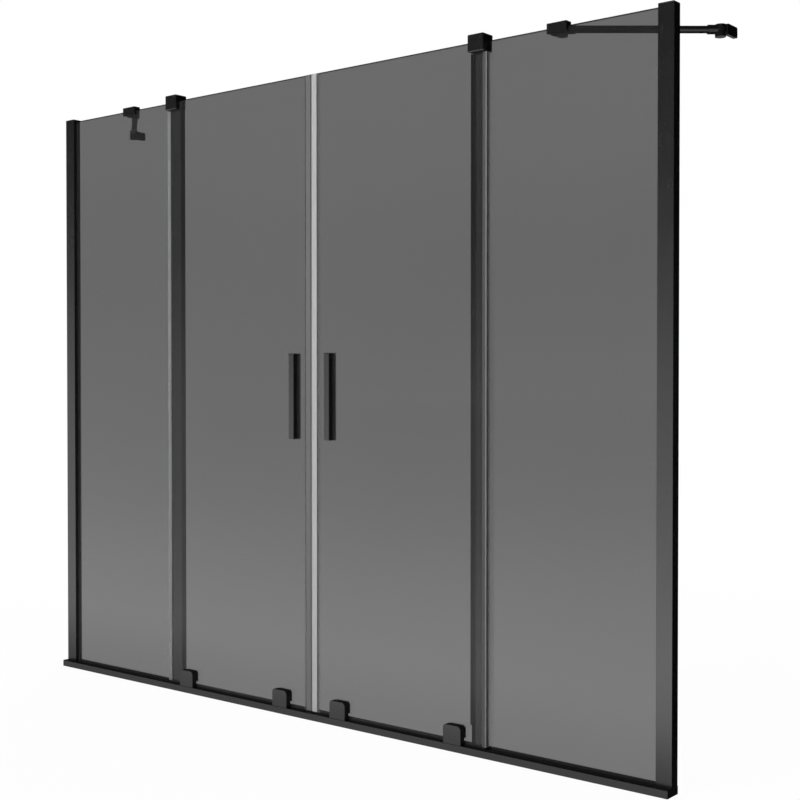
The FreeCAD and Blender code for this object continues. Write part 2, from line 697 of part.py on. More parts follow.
def handle_bolts():
    """Cap screws from the inner bar through the glass into the outer bar."""
    rear = DOOR_REAR + HANDLE_DEPTH
    seat = rear - HANDLE_BOLT_HEAD
    bolts = []
    for z in handle_bolt_heights():
        shank = rod_y(HANDLE_BOLT_RADIUS, HANDLE_X, z, DOOR_FRONT - HANDLE_BOLT_GRIP, seat)
        head = rod_y(HANDLE_BOLT_HEAD_RADIUS, HANDLE_X, z, seat, rear - HANDLE_BOLT_CLEARANCE)
        bolts.append(shank.fuse(head))
    return bolts


def glass_grip(edge, direction):
    """The U that grips an upright glass edge, as (x, y) points; direction points off the glass."""
    leg = edge - direction * SEAL_LEG
    floor = edge + direction * SEAL_FIT
    base = edge + direction * SEAL_BASE
    grip = [(base, SEAL_FRONT), (leg, SEAL_FRONT), (leg, GRIP_FRONT), (floor, GRIP_FRONT)]
    return grip + [(floor, GRIP_REAR), (leg, GRIP_REAR), (leg, SEAL_REAR), (base, SEAL_REAR)]


def magnet_pocket(clearance):
    """The magnet's section behind the seal's nose as (x0, x1, y0, y1)."""
    middle = (DOOR_FRONT + DOOR_REAR) / 2
    x0 = SEAL_MEETING_GAP + SEAL_WALL
    half = MAGNET_DEPTH / 2
    x1 = x0 + MAGNET_WIDTH
    y0 = middle - half
    y1 = middle + half
    return (x0 - clearance, x1 + clearance, y0 - clearance, y1 + clearance)


def magnetic_seal():
    """The clear strip on the door's leading edge, with a box that holds the magnet."""
    bottom = DOOR_BOTTOM
    grip = along_z(glass_grip(DOOR_INNER, -1), bottom, DOOR_TOP)
    nose = box(SEAL_MEETING_GAP, DOOR_INNER - SEAL_BASE, SEAL_FRONT, SEAL_REAR, bottom, DOOR_TOP)
    x0, x1, y0, y1 = magnet_pocket(MAGNET_CLEARANCE)
    nose = nose.cut(box(x0, x1, y0, y1, bottom, DOOR_TOP))
    relief = box(x1 + SEAL_WALL, DOOR_INNER - SEAL_BASE - SEAL_WALL, y0, y1, bottom, DOOR_TOP)
    return grip.fuse(nose.cut(relief)).removeSplitter()


def magnet_strip():
    x0, x1, y0, y1 = magnet_pocket(0)
    return box(x0, x1, y0, y1, DOOR_BOTTOM, DOOR_TOP)


def outer_seal():
    """The clear strip on the door's trailing edge, with a fin that wipes the fixed pane."""
    bottom = SWEEP_TOP + RUNNING_GAP
    top = BLOCK_BOTTOM - LINER_HEADROOM
    grip = along_z(glass_grip(DOOR_OUTER, 1), bottom, top)
    root = DOOR_OUTER + SEAL_BASE
    tip = FIXED_FRONT - RUNNING_GAP
    fin_outline = [
        (root - FIN_THICKNESS, SEAL_REAR),
        (root, SEAL_REAR - FIN_THICKNESS),
        (root + FIN_REACH, tip - FIN_THICKNESS),
        (root + FIN_REACH, tip),
        (root + FIN_REACH - FIN_THICKNESS, tip),
    ]
    fin = along_z(fin_outline, bottom, top)
    return grip.fuse(fin).removeSplitter()


def bottom_seal():
    """The black sweep under the door, with two fins just above the rail."""
    floor = DOOR_BOTTOM - SEAL_FIT
    base = floor - SWEEP_BASE
    tip = RAIL_HEIGHT + SWEEP_GAP
    outline = [
        (SEAL_FRONT, tip),
        (SEAL_FRONT + SWEEP_FIN, tip),
        (SEAL_FRONT + SWEEP_FIN, base),
        (SEAL_REAR - SWEEP_FIN, base),
        (SEAL_REAR - SWEEP_FIN, tip),
        (SEAL_REAR, tip),
        (SEAL_REAR, SWEEP_TOP),
        (GRIP_REAR, SWEEP_TOP),
        (GRIP_REAR, floor),
        (GRIP_FRONT, floor),
        (GRIP_FRONT, SWEEP_TOP),
        (SEAL_FRONT, SWEEP_TOP),
    ]
    return along_x(outline, DOOR_INNER + SEAL_LEG + RUNNING_GAP, DOOR_OUTER)


# Trolleys and rollers


def trolley_housing(middle):
    """The cover in front of the glass, with a pocket for the roller and a seat for its axle."""
    half = TROLLEY_WIDTH / 2
    housing = box(middle - half, middle + half, TROLLEY_FRONT, TROLLEY_REAR, TROLLEY_BOTTOM, TROLLEY_TOP)
    def top_corner(a, b):
        return lies_along_y(a, b) and same(a.z, TROLLEY_TOP)
    housing = rounded(housing, TROLLEY_ROUND, top_corner)
    def front_rim(a, b):
        at_front = same(a.y, TROLLEY_FRONT) and same(b.y, TROLLEY_FRONT)
        at_bottom = same(a.z, TROLLEY_BOTTOM) and same(b.z, TROLLEY_BOTTOM)
        return at_front and not at_bottom
    housing = bevelled(housing, TROLLEY_CHAMFER, front_rim)
    reach = ROLLER_RADIUS + POCKET_GAP
    side = ROLLER_WIDTH / 2 + ROLLER_SIDE_GAP
    front = TRACK_MID - side
    rear = TRACK_MID + side
    pocket = box(middle - reach, middle + reach, front, rear, TROLLEY_BOTTOM, AXLE_Z)
    housing = housing.cut(pocket.fuse(rod_y(reach, middle, AXLE_Z, front, rear)))
    housing = housing.cut(rod_y(AXLE_RADIUS, middle, AXLE_Z, TROLLEY_FRONT + AXLE_SKIN, TROLLEY_REAR))
    hole = TROLLEY_SCREW_RADIUS + TROLLEY_SCREW_CLEARANCE
    for x in trolley_screw_columns(middle):
        start = TROLLEY_REAR - TROLLEY_SCREW_GRIP
        housing = housing.cut(rod_y(hole, x, TROLLEY_SCREW_Z, start, TROLLEY_REAR))
    return housing


def plate_on_glass(middle, y0, y1):
    """A flat piece of the trolley's outline with cropped top corners, above the bottom seal."""
    half = TROLLEY_WIDTH / 2 - PAD_MARGIN
    top = TROLLEY_TOP - PAD_MARGIN
    plate = box(middle - half, middle + half, y0, y1, PAD_BOTTOM, top)
    def corner(a, b):
        return lies_along_y(a, b) and same(a.z, top)
    return bevelled(plate, BACK_PLATE_CORNER, corner)


def trolley_pad(middle, y0, y1):
    """A soft pad on one face of the glass, with slots from above round the trolley's screws."""
    pad = plate_on_glass(middle, y0, y1)
    half = TROLLEY_SCREW_RADIUS + TROLLEY_SCREW_CLEARANCE
    for x in trolley_screw_columns(middle):
        pad = pad.cut(box(x - half, x + half, y0, y1, TROLLEY_SCREW_Z - half, TROLLEY_TOP))
    return pad


def trolley_pads(middle):
    front = trolley_pad(middle, TROLLEY_REAR, DOOR_FRONT)
    rear = trolley_pad(middle, DOOR_REAR, BACK_PLATE_FRONT)
    return [front, rear]


def trolley_back_plate(middle):
    """The plate behind the glass that the trolley's screws pull against."""
    plate = plate_on_glass(middle, BACK_PLATE_FRONT, BACK_PLATE_REAR)
    hole = TROLLEY_SCREW_RADIUS + TROLLEY_SCREW_CLEARANCE
    for x in trolley_screw_columns(middle):
        plate = plate.cut(rod_y(hole, x, TROLLEY_SCREW_Z, BACK_PLATE_FRONT, BACK_PLATE_REAR))
    return plate


def trolley_screws():
    """Hexagon-head screws from behind the glass into the housings."""
    screws = []
    end = BACK_PLATE_REAR + TROLLEY_SCREW_HEAD
    for x, z in trolley_screw_places():
        shank = rod_y(TROLLEY_SCREW_RADIUS, x, z, TROLLEY_REAR - TROLLEY_SCREW_GRIP, BACK_PLATE_REAR)
        screws.append(shank.fuse(hexagon_y(TROLLEY_SCREW_FLATS, x, z, BACK_PLATE_REAR, end)))
    return screws


def roller_axle(middle):
    return rod_y(AXLE_RADIUS, middle, AXLE_Z, TROLLEY_FRONT + AXLE_SKIN, TROLLEY_REAR)


def roller(middle):
    """A turned wheel with a chamfered tread."""
    half = ROLLER_WIDTH / 2
    cheek = [
        (AXLE_RADIUS + AXLE_CLEARANCE, half),
        (ROLLER_RADIUS - ROLLER_CHAMFER, half),
        (ROLLER_RADIUS, half - ROLLER_CHAMFER),
    ]
    section = cheek + [(radius, -y) for radius, y in reversed(cheek)]
    points = [V(middle + radius, TRACK_MID + y, AXLE_Z) for radius, y in section]
    face = Part.Face(Part.makePolygon(points + [points[0]]))
    return face.revolve(V(middle, TRACK_MID, AXLE_Z), V(0, 1, 0), 360)


def main():
    os.makedirs("parts", exist_ok=True)

    save("bottom_rail", bottom_rail())
    save_pair("rail_end", rail_end())
    stop = track_stop()
    save("track_stops", stop, mirrored(stop))
    save_pair("wall_channel", wall_channel())
    save_pair("glazing_profile", glazing_profile())
    save_pair("profile_cap", profile_cap())
    save_pair("fixed_glass", fixed_glass())
    save_pair("glazing_gasket", glazing_gasket())
    save_pair("edge_seal", edge_seal())
    save_pair("guide_block", guide_block())
    save_pair("guide_liner", guide_liner())
    save_pair("bar_clamp", bar_clamp())
    save_pair("support_bar", support_bar())
    save_pair("bar_bracket", bar_bracket())
    screws = profile_screws() + [block_screw(SET_SCREW_RADIUS, BLOCK_REAR)] + clamp_screws()
    save("fixing_screws", *screws, *[mirrored(screw) for screw in screws])

    save_pair("door_glass", door_glass())
    save_pair("handle_front", handle_front())
    save_pair("handle_rear", handle_rear())
    save_pair("handle_bolts", *handle_bolts())
    save_pair("magnetic_seal", magnetic_seal())
    save_pair("magnet_strip", magnet_strip())
    save_pair("outer_seal", outer_seal())
    save_pair("bottom_seal", bottom_seal())

    trolleys = (("inner", TROLLEY_INNER_X), ("outer", TROLLEY_OUTER_X))
    for place, middle in trolleys:
        save_pair("trolley_" + place, trolley_housing(middle))
        save_pair("roller_" + place, roller(middle))
    save_pair("trolley_pads", *[pad for place, middle in trolleys for pad in trolley_pads(middle)])
    save_pair("trolley_back_plates", *[trolley_back_plate(middle) for place, middle in trolleys])
    save_pair("trolley_screws", *trolley_screws())
    save_pair("roller_axles", *[roller_axle(middle) for place, middle in trolleys])


if __name__ == "__main__":
    main()
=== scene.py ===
"""Finishes, fasteners and studio of a sliding shower screen, laid out as a Blender add-on.

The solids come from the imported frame, in metres: +X along the rail, +Y into the shower, +Z up.
Each operator finishes one group of pieces; the last one sets up the studio and the camera.
"""
import math

import bpy
from bpy.props import FloatProperty, FloatVectorProperty, PointerProperty
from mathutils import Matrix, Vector


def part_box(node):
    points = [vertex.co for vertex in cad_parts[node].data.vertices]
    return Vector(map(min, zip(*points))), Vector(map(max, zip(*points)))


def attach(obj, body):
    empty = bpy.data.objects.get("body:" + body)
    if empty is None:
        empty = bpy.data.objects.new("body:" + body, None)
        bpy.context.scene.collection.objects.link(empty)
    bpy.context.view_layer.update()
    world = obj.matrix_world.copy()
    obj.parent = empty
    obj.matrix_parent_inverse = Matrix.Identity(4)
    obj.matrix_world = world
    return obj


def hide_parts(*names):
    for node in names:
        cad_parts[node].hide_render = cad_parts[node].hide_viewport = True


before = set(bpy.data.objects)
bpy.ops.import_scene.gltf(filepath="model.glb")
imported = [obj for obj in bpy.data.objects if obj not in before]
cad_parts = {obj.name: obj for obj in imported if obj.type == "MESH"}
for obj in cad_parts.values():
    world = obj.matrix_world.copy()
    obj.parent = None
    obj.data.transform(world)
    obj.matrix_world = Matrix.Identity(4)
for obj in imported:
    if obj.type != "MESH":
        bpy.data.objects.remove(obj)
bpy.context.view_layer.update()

bl_info = {
    "name": "Sliding Shower Screen",
    "version": (1, 0, 0),
    "blender": (4, 5, 0),
    "location": "View3D > Sidebar > Shower Screen",
    "description": "Finishes, fasteners and studio of a sliding shower screen",
    "category": "Object",
}

SIDES = ("left", "right")

# Glass: width of the painted shade line along the top edge and along the inner edge, and its share of the
# tint
GLASS_RIM = 0.003
INNER_RIM = 0.005
RIM_SHADE_SHARE = 0.15

# Door seals: refractive index and clearness of the soft plastic, the width over which it fades, how much of
# the clear lips shows, the painted shade line where the doors meet, how much further the right bulb reaches,
# and how far the outer seal's nose stands past the glass
SEAL_INDEX = 1.3
OUTER_SEAL_CLEARNESS = 0.88
SEAL_CLEARNESS = 0.5
SEAL_FADE = 0.001
LIP_ALPHA = 0.1
MEETING_SHADE_LINE = (0.003, 0.002)
MEETING_SHADE_SHARE = 0.5
WIDER_BULB = 0.001
NOSE_REACH = 0.003

# Studio that gloss shows, as low and high end of a step and the share at each: CORNER is the way to
# the dark rear corner, and painted shade dims the floor near and behind the screen and beside the
# rail's right end
CORNER = Vector((0.63, 0.78))
CORNER_STEP = (0.7, 0.95, 1.0)
FLOOR_NEAR_FAR = (0.5, 6.0)
FLOOR_SCREEN_SHADE = (-0.7, -0.05, 1.0, 0.32)
FLOOR_RIGHTWARDS = (-2.0, 0.6, 1.0, 1.3)
FLOOR_FAR_RIGHT = (1.0, 2.5, 1.0, 0.35)
RAIL_END_X = (0.912, 0.922)
RAIL_END_Y = (-0.08, -0.03)
REAR_Y = (0.0, 0.08)
REAR_REACH = (1.5, 3.0, 1.0, 0.0)
SHADOW_REACH = (1.4, 3.0)
SKY_HEIGHT = (-0.04, 0.13)
SKY_LEFT = (-0.85, -0.4, 1.0, 1.3)
SKY_RIGHT = (0.2, 0.6, 1.0, 0.35)
WHITE = (1.0, 1.0, 1.0, 1.0)

# Softboxes: where they hang, their size and what they are aimed at
KEY_SPOT = (-0.6, -4.4, 1.9)
REAR_SPOT = (-2.4, 3.4, 2.8)
SOFTBOX_SIZE = (2.4, 1.8)
SOFTBOX_AIM = Vector((0.0, 0.0, 0.7))
SENSOR_WIDTH = 36.0


# Shader wiring


class Wire:
    """An output socket of a node; arithmetic on wires adds Math nodes to the same tree."""

    def __init__(self, tree, output=None):
        self.tree = tree
        self.output = output

    def add(self, kind, settings=None, inputs=None, out=0):
        """Adds a node: its settings first, then the values or links of its sockets."""
        node = self.tree.nodes.new(kind)
        for name, value in (settings or {}).items():
            setattr(node, name, value)
        for key, value in (inputs or {}).items():
            if isinstance(value, Wire):
                self.tree.links.new(value.output, node.inputs[key])
            else:
                node.inputs[key].default_value = value
        return Wire(self.tree, node.outputs[out]) if len(node.outputs) else None

    def math(self, operation, first, second):
        return self.add("ShaderNodeMath", {"operation": operation}, {0: first, 1: second})

    def __add__(self, other):
        return self.math("ADD", self, other)

    __radd__ = __add__

    def __sub__(self, other):
        return self.math("SUBTRACT", self, other)

    def __rsub__(self, other):
        return self.math("SUBTRACT", other, self)

    def __mul__(self, other):
        return self.math("MULTIPLY", self, other)

    __rmul__ = __mul__

    def __truediv__(self, other):
        return self.math("DIVIDE", self, other)

    def __rtruediv__(self, other):
        return self.math("DIVIDE", other, self)

    def at_least(self, other):
        return self.math("MAXIMUM", self, other)

    def ease(self, low, high, from_value=0.0, to_value=1.0):
        """A smooth step between two values."""
        span = {"From Min": low, "From Max": high, "To Min": from_value, "To Max": to_value}
        return self.add("ShaderNodeMapRange", {"interpolation_type": "SMOOTHSTEP"}, {"Value": self, **span})

    def tint(self, low, high):
        """A colour between two colours, by this value."""
        return self.add("ShaderNodeMix", {"data_type": "RGBA"}, {"Factor": self, 6: low, 7: high}, out=2)


def new_tree(name):
    """An empty material and a wire to build its nodes with."""
    material = bpy.data.materials.new(name)
    material.use_nodes = True
    material.node_tree.nodes.clear()
    return material, Wire(material.node_tree)


def place(wire, stretch=(1.0, 1.0, 1.0)):
    """The object's own coordinates, stretched along its axes."""
    coordinates = wire.add("ShaderNodeTexCoord", out="Object")
    return wire.add("ShaderNodeMapping", inputs={"Vector": coordinates, "Scale": stretch})


def noise(wire, vector, scale, detail=2.0, roughness=0.5):
    inputs = {"Vector": vector, "Scale": scale, "Detail": detail, "Roughness": roughness}
    return wire.add("ShaderNodeTexNoise", inputs=inputs)


def bump(wire, height, strength, depth):
    inputs = {"Strength": strength, "Distance": depth, "Height": height}
    return wire.add("ShaderNodeBump", inputs=inputs)


def close(wire, **inputs):
    """Ends a material in one principled shader."""
    sockets = {name.replace("_", " "): value for name, value in inputs.items()}
    shader = wire.add("ShaderNodeBsdfPrincipled", inputs=sockets)
    wire.add("ShaderNodeOutputMaterial", inputs={"Surface": shader})


def shade(colour, factor):
    """A colour made darker or lighter, as four numbers."""
    return tuple(channel * factor for channel in colour[:3]) + (1.0,)


# Finishes


def black_coat(settings):
    """Satin powder coat: fine orange peel, faint cloudiness and a few matt rub marks."""
    material, wire = new_tree("satin_black_coat")
    spot = place(wire)
    cloud = noise(wire, spot, 9.0, 3.0)
    rubbed = noise(wire, place(wire, (1.0, 1.0, 0.25)), 42.0, 5.0, 0.65).ease(0.55, 0.8)
    peel = noise(wire, spot, 900.0, 1.0)
    colour = cloud.tint(shade(settings.coat_colour, 0.8), shade(settings.coat_colour, 1.2))
    roughness = settings.coat_roughness + (cloud - 0.5) * 0.1 + rubbed * 0.05
    close(wire, Base_Color=colour, Roughness=roughness, IOR=settings.coat_index, Specular_IOR_Level=1.0,
          Normal=bump(wire, peel, 0.08, 0.0002))
    return material


def moulded_black(settings):
    """Moulded plastic with a fine spark-eroded grain."""
    material, wire = new_tree("moulded_black")
    spot = place(wire)
    grain = wire.add("ShaderNodeTexVoronoi", inputs={"Vector": spot, "Scale": 1400.0})
    cloud = noise(wire, spot, 30.0, 3.0)
    colour = cloud.tint(shade(settings.moulding_colour, 0.8), shade(settings.moulding_colour, 1.25))
    roughness = settings.coat_roughness + 0.08 + (cloud - 0.5) * 0.12
    close(wire, Base_Color=colour, Roughness=roughness, IOR=settings.coat_index, Specular_IOR_Level=1.0,
          Normal=bump(wire, grain, 0.06, 0.0002))
    return material


def black_rubber(settings):
    """Extruded rubber: matt, with faint streaks along its length and a little bloom."""
    material, wire = new_tree("black_rubber")
    streak = noise(wire, place(wire, (900.0, 900.0, 3.0)), 1.0, 2.0)
    bloom = noise(wire, place(wire), 60.0, 4.0, 0.6).ease(0.45, 0.8)
    colour = bloom.tint(shade(settings.rubber_colour, 0.85), shade(settings.rubber_colour, 1.6))
    close(wire, Base_Color=colour, Roughness=0.7 + bloom * 0.15, Normal=bump(wire, streak, 0.1, 0.0002))
    return material


def tinted_glass(settings, name, top, inner):
    """Polished grey glass with faint wipe marks and painted shade at mid height and along its top and inner
    edges.
    """
    material, wire = new_tree(name)
    spot = place(wire)
    wipe = noise(wire, place(wire, (3.0, 3.0, 1.0)), 2.2, 4.0, 0.6).ease(0.4, 0.75)
    across, height = (wire.add("ShaderNodeSeparateXYZ", inputs={"Vector": spot}, out=axis) for axis in "XZ")
    across = across.math("ABSOLUTE", across, 0.0)
    # Painted shade: the tint darkens in a thin line along the top and inner edges
    rim_shade = height.ease(top - GLASS_RIM, top - GLASS_RIM / 2)
    rim_shade = rim_shade.at_least(across.ease(inner + INNER_RIM, inner + INNER_RIM * 0.8))
    # Painted shade: the tint is darker at mid height; a random cloud varies it
    middle_shade = height.ease(0.05, 0.75) * height.ease(1.45, 0.75, 0.6, 1.0)
    depth = middle_shade + (noise(wire, spot, 1.3, 2.0) - 0.5) * 0.2
    colour = depth.tint(shade(settings.glass_tint, 1.0), shade(settings.glass_tint, settings.glass_middle_shade))
    colour = rim_shade.tint(colour, shade(settings.glass_tint, RIM_SHADE_SHARE))
    close(wire, Base_Color=colour, Roughness=0.004 + wipe * 0.01, IOR=settings.glass_index,
          Transmission_Weight=settings.glass_clearness)
    return material


def seal_haze(wire):
    """Cloudiness of soft plastic, drawn out along its length."""
    return noise(wire, place(wire, (40.0, 40.0, 6.0)), 1.0, 3.0)


def seal_tone(haze, colour):
    """Colour of soft plastic, by its haze."""
    return haze.tint(shade(colour, 0.96), shade(colour, 1.03))


def drawn_lines(wire):
    """Faint lines along an extruded seal, as a normal."""
    return bump(wire, noise(wire, place(wire, (700.0, 700.0, 2.0)), 1.0, 2.0), 0.03, 0.0001)


def from_middle(wire):
    """Distance from the line where the doors meet."""
    across = wire.add("ShaderNodeSeparateXYZ", inputs={"Vector": place(wire)}, out="X")
    return across.math("ABSOLUTE", across, 0.0)


def clear_seal(name, colour):
    """Clear soft plastic with faint drawn lines along its length."""
    material, wire = new_tree(name)
    haze = seal_haze(wire)
    close(wire, Base_Color=seal_tone(haze, colour), Roughness=0.35 + haze * 0.2, IOR=SEAL_INDEX,
          Transmission_Weight=OUTER_SEAL_CLEARNESS, Normal=drawn_lines(wire))
    return material


def bulb_seal(name, colour, bulb):
    """Milky plastic as far as its bulb reaches, with a painted shade line where the doors meet, and clear
    beyond the bulb.
    """
    material, wire = new_tree(name)
    haze = seal_haze(wire)
    reach = from_middle(wire)
    # Painted shade: a dark line within a few millimetres of where the doors meet
    tone = reach.ease(*MEETING_SHADE_LINE).tint(seal_tone(haze, colour), shade(colour, MEETING_SHADE_SHARE))
    close(wire, Base_Color=tone, Roughness=0.35 + haze * 0.2, IOR=SEAL_INDEX,
          Transmission_Weight=SEAL_CLEARNESS, Alpha=reach.ease(bulb, bulb + SEAL_FADE, 1.0, LIP_ALPHA),
          Normal=drawn_lines(wire))
    return material


def fin_seal(name, leg_colour, nose_colour, edge):
    """Smoked legs on the glass, a milky nose past its edge and a clear fin."""
    material, wire = new_tree(name)
    haze = seal_haze(wire)
    reach = from_middle(wire)
    nose_end = edge + NOSE_REACH
    tone = reach.ease(edge - SEAL_FADE, edge).tint(seal_tone(haze, leg_colour), shade(nose_colour, 1.0))
    close(wire, Base_Color=tone, Roughness=0.35 + haze * 0.2, IOR=SEAL_INDEX,
          Transmission_Weight=SEAL_CLEARNESS,
          Alpha=reach.ease(nose_end, nose_end + SEAL_FADE, 1.0, LIP_ALPHA))
    return material


def magnet_strip(name, grey):
    """Bonded magnet, slightly mottled."""
    material, wire = new_tree(name)
    mottle = noise(wire, place(wire, (1.0, 1.0, 0.3)), 260.0, 4.0, 0.6)
    colour = mottle.tint(shade(grey, 0.85), shade(grey, 1.1))
    close(wire, Base_Color=colour, Roughness=0.6 + mottle * 0.15, Normal=bump(wire, mottle, 0.1, 0.0002))
    return material


def blackened_steel(settings):
    """Oil-blackened steel with a fine turned texture and worn highlights."""
    material, wire = new_tree("blackened_steel")
    spot = place(wire)
    turned = noise(wire, place(wire, (200.0, 4000.0, 200.0)), 1.0, 2.0)
    wear = noise(wire, spot, 420.0, 5.0, 0.65).ease(0.55, 0.85)
    colour = wear.tint(shade(settings.blackened_colour, 0.8), shade(settings.blackened_colour, 2.4))
    close(wire, Base_Color=colour, Metallic=0.9, Roughness=0.42 - wear * 0.14,
          Normal=bump(wire, turned, 0.12, 0.0001))
    return material


def ground_steel(settings):
    """Bright ground steel with fine rings."""
    material, wire = new_tree("ground_steel")
    rings = noise(wire, place(wire, (60.0, 5000.0, 60.0)), 1.0, 2.0)
    colour = rings.tint(shade(settings.steel_colour, 0.85), shade(settings.steel_colour, 1.1))
    close(wire, Base_Color=colour, Metallic=1.0, Roughness=0.26 + rings * 0.12,
          Normal=bump(wire, rings, 0.1, 0.0001))
    return material


def turned_nylon(settings):
    """Turned nylon: waxy, with fine tool marks."""
    material, wire = new_tree("turned_nylon")
    marks = noise(wire, place(wire, (150.0, 2500.0, 150.0)), 1.0, 2.0)
    cloud = noise(wire, place(wire), 300.0, 3.0)
    colour = cloud.tint(shade(settings.nylon_colour, 0.9), shade(settings.nylon_colour, 1.05))
    close(wire, Base_Color=colour, Roughness=0.38 + marks * 0.16, Subsurface_Weight=0.1,
          Normal=bump(wire, marks, 0.1, 0.0001))
    return material


def give(material, nodes):
    """Puts one material on CAD nodes."""
    for node in nodes:
        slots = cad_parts[node].material_slots
        for slot in slots:
            slot.material = material
        if not len(slots):
            raise RuntimeError(node + " has no material slot")


def both(*names):
    """The left and right nodes of paired pieces."""
    return [name + "_" + side for name in names for side in SIDES]


# Modelling helpers


def select_only(*objects):
    bpy.ops.object.select_all(action="DESELECT")
    for item in objects:
        item.select_set(True)
    bpy.context.view_layer.objects.active = objects[0]


def solids_of(node):
    """The lowest and highest corners of each separate solid of a CAD node."""
    select_only(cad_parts[node])
    bpy.ops.object.duplicate()
    bpy.ops.object.mode_set(mode="EDIT")
    bpy.ops.mesh.select_all(action="SELECT")
    bpy.ops.mesh.remove_doubles(threshold=1e-6)
    bpy.ops.mesh.separate(type="LOOSE")
    bpy.ops.object.mode_set(mode="OBJECT")
    boxes = []
    for copy in list(bpy.context.selected_objects):
        corners = [vertex.co for vertex in copy.data.vertices]
        low = Vector([min(corner[axis] for corner in corners) for axis in range(3)])
        high = Vector([max(corner[axis] for corner in corners) for axis in range(3)])
        boxes.append((low, high))
        bpy.data.objects.remove(copy)
    return sorted(boxes, key=lambda box: tuple(round(value, 5) for value in box[0]))


def round_bar(radius, start, end, sides):
    """A cylinder along Z between two heights."""
    bpy.ops.object.select_all(action="DESELECT")
    bpy.ops.mesh.primitive_cylinder_add(
        vertices=sides, radius=radius, depth=end - start, location=(0, 0, (start + end) / 2))
    bpy.ops.object.transform_apply(location=True)
    return bpy.context.object


def soften_rim(bar, height, width, segments):
    """Bevels the edges that lie at one height of a bar."""
    select_only(bar)
    bpy.ops.object.mode_set(mode="EDIT")
    bpy.ops.mesh.select_mode(type="EDGE")
    bpy.ops.mesh.select_all(action="DESELECT")
    bpy.ops.object.mode_set(mode="OBJECT")
    points = bar.data.vertices
    for edge in bar.data.edges:
        edge.select = all(abs(points[index].co.z - height) < 1e-6 for index in edge.vertices)
    bpy.ops.object.mode_set(mode="EDIT")
    bpy.ops.mesh.bevel(offset=width, segments=segments, affect="EDGES")
    bpy.ops.object.mode_set(mode="OBJECT")


def cut_out(body, cutter):
    """Takes one solid out of another."""
    select_only(body)
    bpy.ops.object.modifier_add(type="BOOLEAN")
    modifier = body.modifiers[-1]
    modifier.operation = "DIFFERENCE"
    modifier.solver = "EXACT"
    modifier.object = cutter
    bpy.ops.object.modifier_apply(modifier=modifier.name)
    bpy.data.objects.remove(cutter)


def join(*objects):
    select_only(*objects)
    if len(objects) > 1:
        bpy.ops.object.join()
    return bpy.context.object


def socket(body, flats, top, depth):
    """Sinks a hexagon socket into the top of a screw."""
    cut_out(body, round_bar(flats / math.sqrt(3), top - depth, top + depth, 6))


def lay_at(model, boxes):
    """Turns a screw that points up so that it points into the shower, and copies it to each place."""
    model.rotation_euler.x = math.radians(-90)
    select_only(model)
    bpy.ops.object.transform_apply(rotation=True)
    copies = []
    for low, high in boxes:
        select_only(model)
        bpy.ops.object.duplicate()
        copy = bpy.context.object
        copy.location = ((low.x + high.x) / 2, high.y, (low.z + high.z) / 2)
        bpy.ops.object.transform_apply(location=True)
        copies.append(copy)
    bpy.data.objects.remove(model)
    return join(*copies)


def finish(piece, name, body, material, replaced=()):
    """Names a finished piece and ties it to the frame."""
    piece.name = name
    piece.data.name = name
    select_only(piece)
    bpy.ops.object.shade_smooth_by_angle(angle=math.radians(35))
    piece.data.materials.clear()
    piece.data.materials.append(material)
    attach(piece, body)
    if replaced:
        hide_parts(*replaced)


# Fasteners


def set_screw(radius, length, flats):
    """A grub screw with a chamfered end and a hexagon socket, its end at height zero."""
    screw = round_bar(radius, -length, 0, 36)
    soften_rim(screw, 0, radius * 0.12, 1)
    socket(screw, flats, 0, min(length * 0.6, flats))
    return screw


def pan_screw(radius, head_radius, head, length, recess):
    """A screw with a domed head and a cross recess, the top of its head at height zero."""
    shank = round_bar(radius, -length, -head, 24)
    dome = round_bar(head_radius, -head, 0, 40)
    soften_rim(dome, 0, head * 0.7, 4)
    for turn in (0, 90):
        bpy.ops.object.select_all(action="DESELECT")
        bpy.ops.mesh.primitive_cube_add(size=1, rotation=(0, 0, math.radians(turn)))
        blade = bpy.context.object
        blade.scale = (recess * 2, recess * 0.36, head * 1.3)
        bpy.ops.object.transform_apply(rotation=True, scale=True)
        cut_out(dome, blade)
    return join(dome, shank)


def cap_screw(radius, head_radius, head, length, flats):
    """A cap screw with a socket head, the top of its head at height zero."""
    shank = round_bar(radius, -length, -head, 32)
    cap = round_bar(head_radius, -head, 0, 48)
    soften_rim(cap, 0, head_radius * 0.1, 2)
    socket(cap, flats, 0, head * 0.55)
    return join(cap, shank)


def hexagon_screw(radius, flats, head, length, washer):
    """A hexagon-head screw with a chamfered crown on a flat washer, its crown at height zero."""
    shank = round_bar(radius, -length, -head, 32)
    crown = round_bar(flats / math.sqrt(3), -head + washer, 0, 6)
    soften_rim(crown, 0, flats * 0.06, 2)
    plate = round_bar(flats * 0.62, -head, -head + washer, 40)
    soften_rim(plate, -head + washer, washer * 0.3, 2)
    return join(crown, plate, shank)


# Settings


